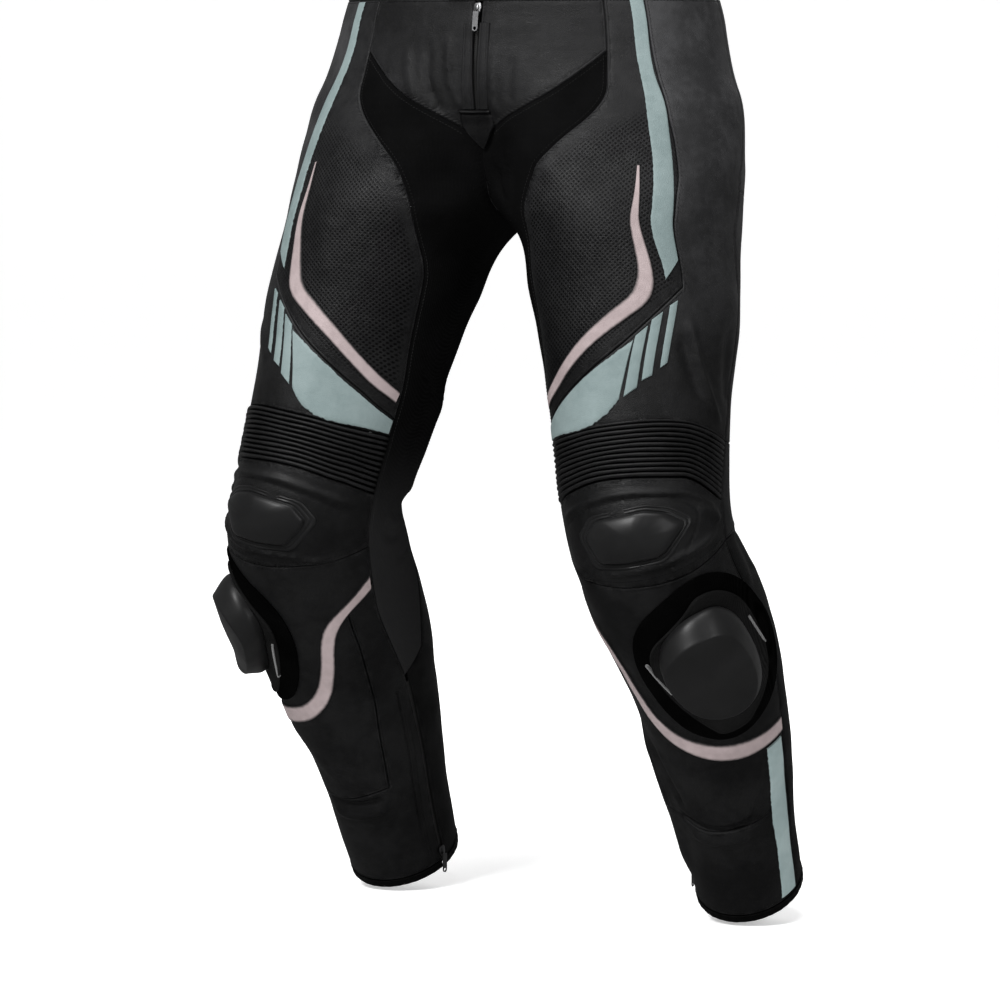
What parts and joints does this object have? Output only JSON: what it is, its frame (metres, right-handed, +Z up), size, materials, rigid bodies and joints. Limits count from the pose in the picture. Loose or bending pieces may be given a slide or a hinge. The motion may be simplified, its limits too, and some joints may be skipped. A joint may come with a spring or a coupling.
{
  "type": "leather motorcycle racing trousers",
  "caption": "Panelled leather riding trousers in their worn shape, with ribbed stretch above the knees, knee cups, knee sliders, zipped calves and a zip fly.",
  "frame": {"origin": "centre of the waist opening, at the waistband's top edge", "axes": "+Z up through the waist opening, the wearer faces -Y, the wearer's left is +X"},
  "size_m": [0.5882, 0.376, 0.959],
  "materials": {
    "black_leather": "soft satin full-grain leather, partly perforated",
    "yoke_leather": "soft satin leather, slightly lighter",
    "binding": "black folded edge binding",
    "stretch_cloth": "matt black stretch cloth",
    "grey_blue_leather": "smooth grey-blue leather",
    "pale_pink_leather": "smooth pale pink leather",
    "moulded_rubber": "satin moulded rubber",
    "slider_plastic": "satin hard plastic",
    "loop_pile": "black loop pile of hook-and-loop",
    "zip_chain": "black zip teeth on woven tape",
    "gunmetal": "dark satin metal"
  },
  "bodies": {
    "trousers": {"yoke_front_L": "yoke_leather", "thigh_front_L": "black_leather", "thigh_outer_L": "black_leather", "seat_L": "black_leather", "stretch_inner_L": "stretch_cloth", "thigh_back_L": "black_leather", "knee_back_L": "black_leather", "knee_panel_L": "black_leather", "shin_front_L": "black_leather", "shin_lower_L": "black_leather", "calf_back_L": "black_leather", "accordion_L": "black_leather", "side_stripe_L": "grey_blue_leather", "thigh_stripe_L": "pale_pink_leather", "thigh_flash_L": "grey_blue_leather", "shin_band_L": "pale_pink_leather", "shin_stripe_L": "grey_blue_leather", "knee_cup_L": "moulded_rubber", "slider_pad_L": "loop_pile", "slider_plate_L": "moulded_rubber", "knee_slider_L": "slider_plastic", "hem_binding_L": "binding", "calf_zip_L": "zip_chain", "calf_slider_L": "gunmetal", "yoke_front_R": "yoke_leather", "thigh_front_R": "black_leather", "thigh_outer_R": "black_leather", "seat_R": "black_leather", "stretch_inner_R": "stretch_cloth", "thigh_back_R": "black_leather", "knee_back_R": "black_leather", "knee_panel_R": "black_leather", "shin_front_R": "black_leather", "shin_lower_R": "black_leather", "calf_back_R": "black_leather", "accordion_R": "black_leather", "side_stripe_R": "grey_blue_leather", "thigh_stripe_R": "pale_pink_leather", "thigh_flash_R": "grey_blue_leather", "shin_band_R": "pale_pink_leather", "shin_stripe_R": "grey_blue_leather", "knee_cup_R": "moulded_rubber", "slider_pad_R": "loop_pile", "slider_plate_R": "moulded_rubber", "knee_slider_R": "slider_plastic", "hem_binding_R": "binding", "calf_zip_R": "zip_chain", "calf_slider_R": "gunmetal", "waistband": "yoke_leather", "waist_snap": "gunmetal", "fly_zip": "zip_chain", "fly_slider": "gunmetal", "fly_strip_L": "yoke_leather", "fly_strip_R": "yoke_leather", "fly_flap": "yoke_leather"},
    "fly_tab": {"fly_pull": "gunmetal"},
    "calf_tab_L": {"calf_pull_L": "gunmetal"},
    "calf_tab_R": {"calf_pull_R": "gunmetal"}
  },
  "joints": [
    {"name": "fly_pull_turn", "type": "hinge", "parent": "trousers", "child": "fly_tab", "pos_m": [0, -0.12539, -0.05419], "axis": [-1, 0, 0], "range_deg": [0, 120]},
    {"name": "calf_pull_L_turn", "type": "hinge", "parent": "trousers", "child": "calf_tab_L", "pos_m": [0.13694, 0.09331, -0.91552], "axis": [-0.032, 0.9995, 0], "range_deg": [0, 120]},
    {"name": "calf_pull_R_turn", "type": "hinge", "parent": "trousers", "child": "calf_tab_R", "pos_m": [-0.13906, 0.08083, -0.92252], "axis": [-0.2506, -0.9681, 0], "range_deg": [0, 120]}
  ]
}
